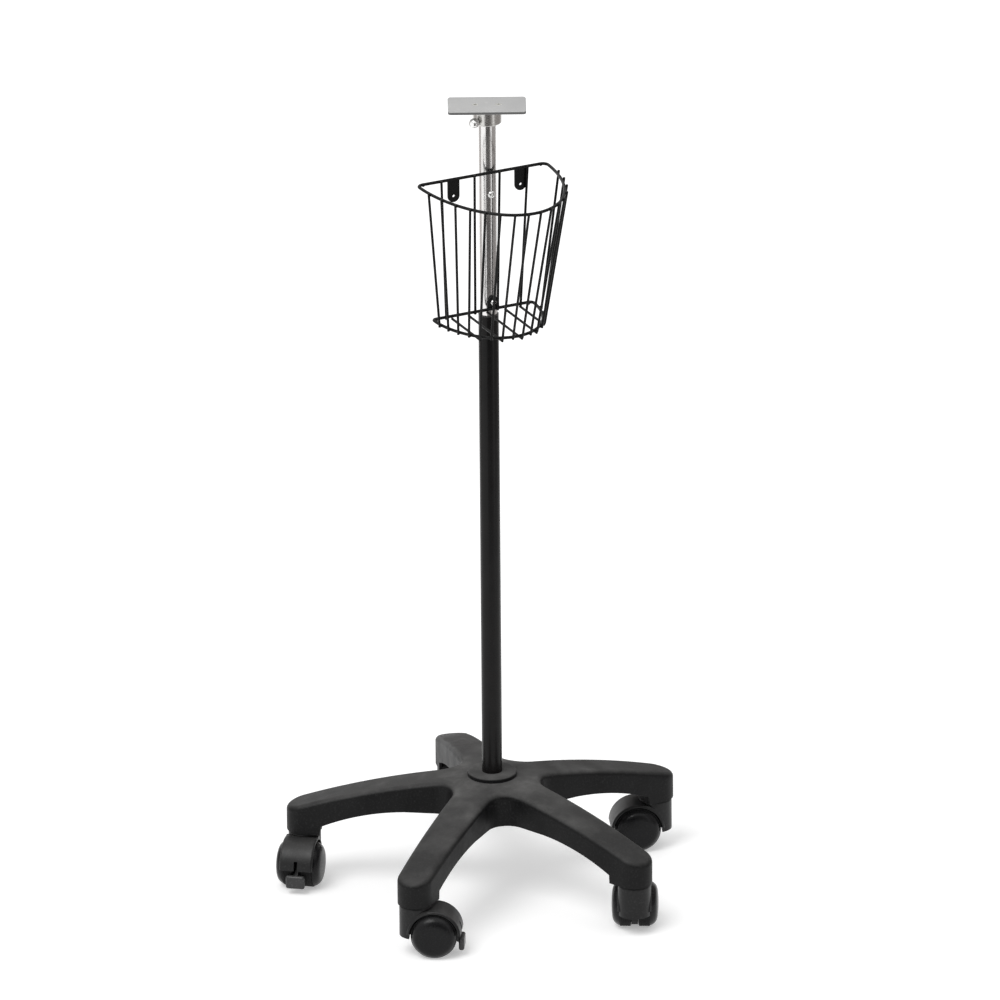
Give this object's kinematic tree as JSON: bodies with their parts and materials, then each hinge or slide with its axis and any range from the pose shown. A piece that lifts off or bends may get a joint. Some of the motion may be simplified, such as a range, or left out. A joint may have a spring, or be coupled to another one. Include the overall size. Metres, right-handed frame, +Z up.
{
  "type": "mobile roll stand",
  "caption": "Mobile equipment stand: star base on swivel casters, telescoping post, wire basket and clamped flat top plate.",
  "frame": {"origin": "on the floor under the post axis", "axes": "+Z up along the post, -Y towards the basket's front, +X to the basket's right seen from the front"},
  "size_m": [0.5137, 0.4963, 1.049],
  "materials": {
    "base_plastic": "fine-grained charcoal moulded plastic",
    "hood_plastic": "moulded black plastic",
    "wheel_plastic": "satin black moulded plastic",
    "black_steel": "satin black paint on steel tube",
    "chrome_tube": "polished chrome plating",
    "basket_coating": "black vinyl-dipped wire",
    "plate_paint": "light grey powder coat",
    "collar_steel": "turned plated steel",
    "bright_screw": "bright plated steel",
    "zinc_steel": "zinc-plated steel",
    "lever_plastic": "grey moulded plastic",
    "glide_plastic": "black low-friction plastic"
  },
  "bodies": {
    "base": {"star_base": "base_plastic", "tube_plug": "zinc_steel", "hub_washer": "zinc_steel", "hub_bolt": "zinc_steel", "outer_tube": "black_steel", "guide_bush": "glide_plastic", "height_set_screw": "zinc_steel", "caster_right_stem": "zinc_steel", "caster_right_grip_ring": "zinc_steel", "caster_rear_stem": "zinc_steel", "caster_rear_grip_ring": "zinc_steel", "caster_left_stem": "zinc_steel", "caster_left_grip_ring": "zinc_steel", "caster_front_left_stem": "zinc_steel", "caster_front_left_grip_ring": "zinc_steel", "caster_front_right_stem": "zinc_steel", "caster_front_right_grip_ring": "zinc_steel"},
    "post": {"inner_tube": "chrome_tube", "slider_plug": "glide_plastic", "basket_top_rim": "basket_coating", "basket_bottom_rim": "basket_coating", "basket_front_wires": "basket_coating", "basket_floor_wires": "basket_coating", "basket_back_wires": "basket_coating", "basket_tab_left": "basket_coating", "basket_tab_right": "basket_coating", "basket_tab_lower": "basket_coating", "basket_screw": "bright_screw", "post_screw": "bright_screw"},
    "head": {"clamp_collar": "collar_steel", "mount_plate": "plate_paint", "plate_screws": "zinc_steel"},
    "knob": {"clamp_knob": "bright_screw", "clamp_screw": "bright_screw"},
    "swivel_right": {"caster_right_hood": "hood_plastic", "caster_right_axle": "zinc_steel"},
    "wheel_right_a": {"caster_right_wheel_a": "wheel_plastic"},
    "wheel_right_b": {"caster_right_wheel_b": "wheel_plastic"},
    "swivel_rear": {"caster_rear_hood": "hood_plastic", "caster_rear_axle": "zinc_steel"},
    "wheel_rear_a": {"caster_rear_wheel_a": "wheel_plastic"},
    "wheel_rear_b": {"caster_rear_wheel_b": "wheel_plastic"},
    "swivel_left": {"caster_left_hood": "hood_plastic", "caster_left_axle": "zinc_steel", "caster_left_brake_pin": "zinc_steel"},
    "wheel_left_a": {"caster_left_wheel_a": "wheel_plastic"},
    "wheel_left_b": {"caster_left_wheel_b": "wheel_plastic"},
    "brake_left": {"caster_left_brake_lever": "lever_plastic"},
    "swivel_front_left": {"caster_front_left_hood": "hood_plastic", "caster_front_left_axle": "zinc_steel", "caster_front_left_brake_pin": "zinc_steel"},
    "wheel_front_left_a": {"caster_front_left_wheel_a": "wheel_plastic"},
    "wheel_front_left_b": {"caster_front_left_wheel_b": "wheel_plastic"},
    "brake_front_left": {"caster_front_left_brake_lever": "lever_plastic"},
    "swivel_front_right": {"caster_front_right_hood": "hood_plastic", "caster_front_right_axle": "zinc_steel"},
    "wheel_front_right_a": {"caster_front_right_wheel_a": "wheel_plastic"},
    "wheel_front_right_b": {"caster_front_right_wheel_b": "wheel_plastic"}
  },
  "joints": [
    {"name": "height_slide", "type": "slide", "parent": "base", "child": "post", "axis": [0, 0, 1], "range_m": [-0.008, 0.25]},
    {"name": "head_swivel", "type": "hinge", "parent": "post", "child": "head", "pos_m": [0, 0, 1.036], "axis": [0, 0, 1], "continuous": true},
    {"name": "clamp_knob_turn", "type": "hinge", "parent": "head", "child": "knob", "pos_m": [-0.02275, -0.01037, 1.0312], "axis": [-0.91, -0.4147, 0], "range_deg": [0, 360]},
    {"name": "caster_right_swivel", "type": "hinge", "parent": "base", "child": "swivel_right", "pos_m": [0.23727, 0.01867, 0.06], "axis": [0, 0, 1], "continuous": true},
    {"name": "caster_right_wheel_a_spin", "type": "hinge", "parent": "swivel_right", "child": "wheel_right_a", "pos_m": [0.21479, 0.02708, 0.029], "axis": [-0.3502, -0.9367, 0], "continuous": true},
    {"name": "caster_right_wheel_b_spin", "type": "hinge", "parent": "swivel_right", "child": "wheel_right_b", "pos_m": [0.21479, 0.02708, 0.029], "axis": [-0.3502, -0.9367, 0], "continuous": true},
    {"name": "caster_rear_swivel", "type": "hinge", "parent": "base", "child": "swivel_rear", "pos_m": [0.05556, 0.23142, 0.06], "axis": [0, 0, 1], "continuous": true},
    {"name": "caster_rear_wheel_a_spin", "type": "hinge", "parent": "swivel_rear", "child": "wheel_rear_a", "pos_m": [0.05556, 0.20742, 0.029], "axis": [1, 0, 0], "continuous": true},
    {"name": "caster_rear_wheel_b_spin", "type": "hinge", "parent": "swivel_rear", "child": "wheel_rear_b", "pos_m": [0.05556, 0.20742, 0.029], "axis": [1, 0, 0], "continuous": true},
    {"name": "caster_left_swivel", "type": "hinge", "parent": "base", "child": "swivel_left", "pos_m": [-0.20293, 0.12435, 0.06], "axis": [0, 0, 1], "continuous": true},
    {"name": "caster_left_wheel_a_spin", "type": "hinge", "parent": "swivel_left", "child": "wheel_left_a", "pos_m": [-0.21754, 0.10531, 0.029], "axis": [0.7934, -0.6088, 0], "continuous": true},
    {"name": "caster_left_wheel_b_spin", "type": "hinge", "parent": "swivel_left", "child": "wheel_left_b", "pos_m": [-0.21754, 0.10531, 0.029], "axis": [0.7934, -0.6088, 0], "continuous": true},
    {"name": "caster_left_brake_press", "type": "hinge", "parent": "swivel_left", "child": "brake_left", "pos_m": [-0.22393, 0.09698, 0.03], "axis": [0.7934, -0.6088, 0], "range_deg": [0, 12]},
    {"name": "caster_front_left_swivel", "type": "hinge", "parent": "base", "child": "swivel_front_left", "pos_m": [-0.18098, -0.15457, 0.06], "axis": [0, 0, 1], "continuous": true},
    {"name": "caster_front_left_wheel_a_spin", "type": "hinge", "parent": "swivel_front_left", "child": "wheel_front_left_a", "pos_m": [-0.1603, -0.16675, 0.029], "axis": [0.5075, 0.8616, 0], "continuous": true},
    {"name": "caster_front_left_wheel_b_spin", "type": "hinge", "parent": "swivel_front_left", "child": "wheel_front_left_b", "pos_m": [-0.1603, -0.16675, 0.029], "axis": [0.5075, 0.8616, 0], "continuous": true},
    {"name": "caster_front_left_brake_press", "type": "hinge", "parent": "swivel_front_left", "child": "brake_front_left", "pos_m": [-0.15125, -0.17208, 0.03], "axis": [0.5075, 0.8616, 0], "range_deg": [0, 12]},
    {"name": "caster_front_right_swivel", "type": "hinge", "parent": "base", "child": "swivel_front_right", "pos_m": [0.09108, -0.21988, 0.06], "axis": [0, 0, 1], "continuous": true},
    {"name": "caster_front_right_wheel_a_spin", "type": "hinge", "parent": "swivel_front_right", "child": "wheel_front_right_a", "pos_m": [0.10216, -0.19859, 0.029], "axis": [-0.887, 0.4617, 0], "continuous": true},
    {"name": "caster_front_right_wheel_b_spin", "type": "hinge", "parent": "swivel_front_right", "child": "wheel_front_right_b", "pos_m": [0.10216, -0.19859, 0.029], "axis": [-0.887, 0.4617, 0], "continuous": true}
  ]
}
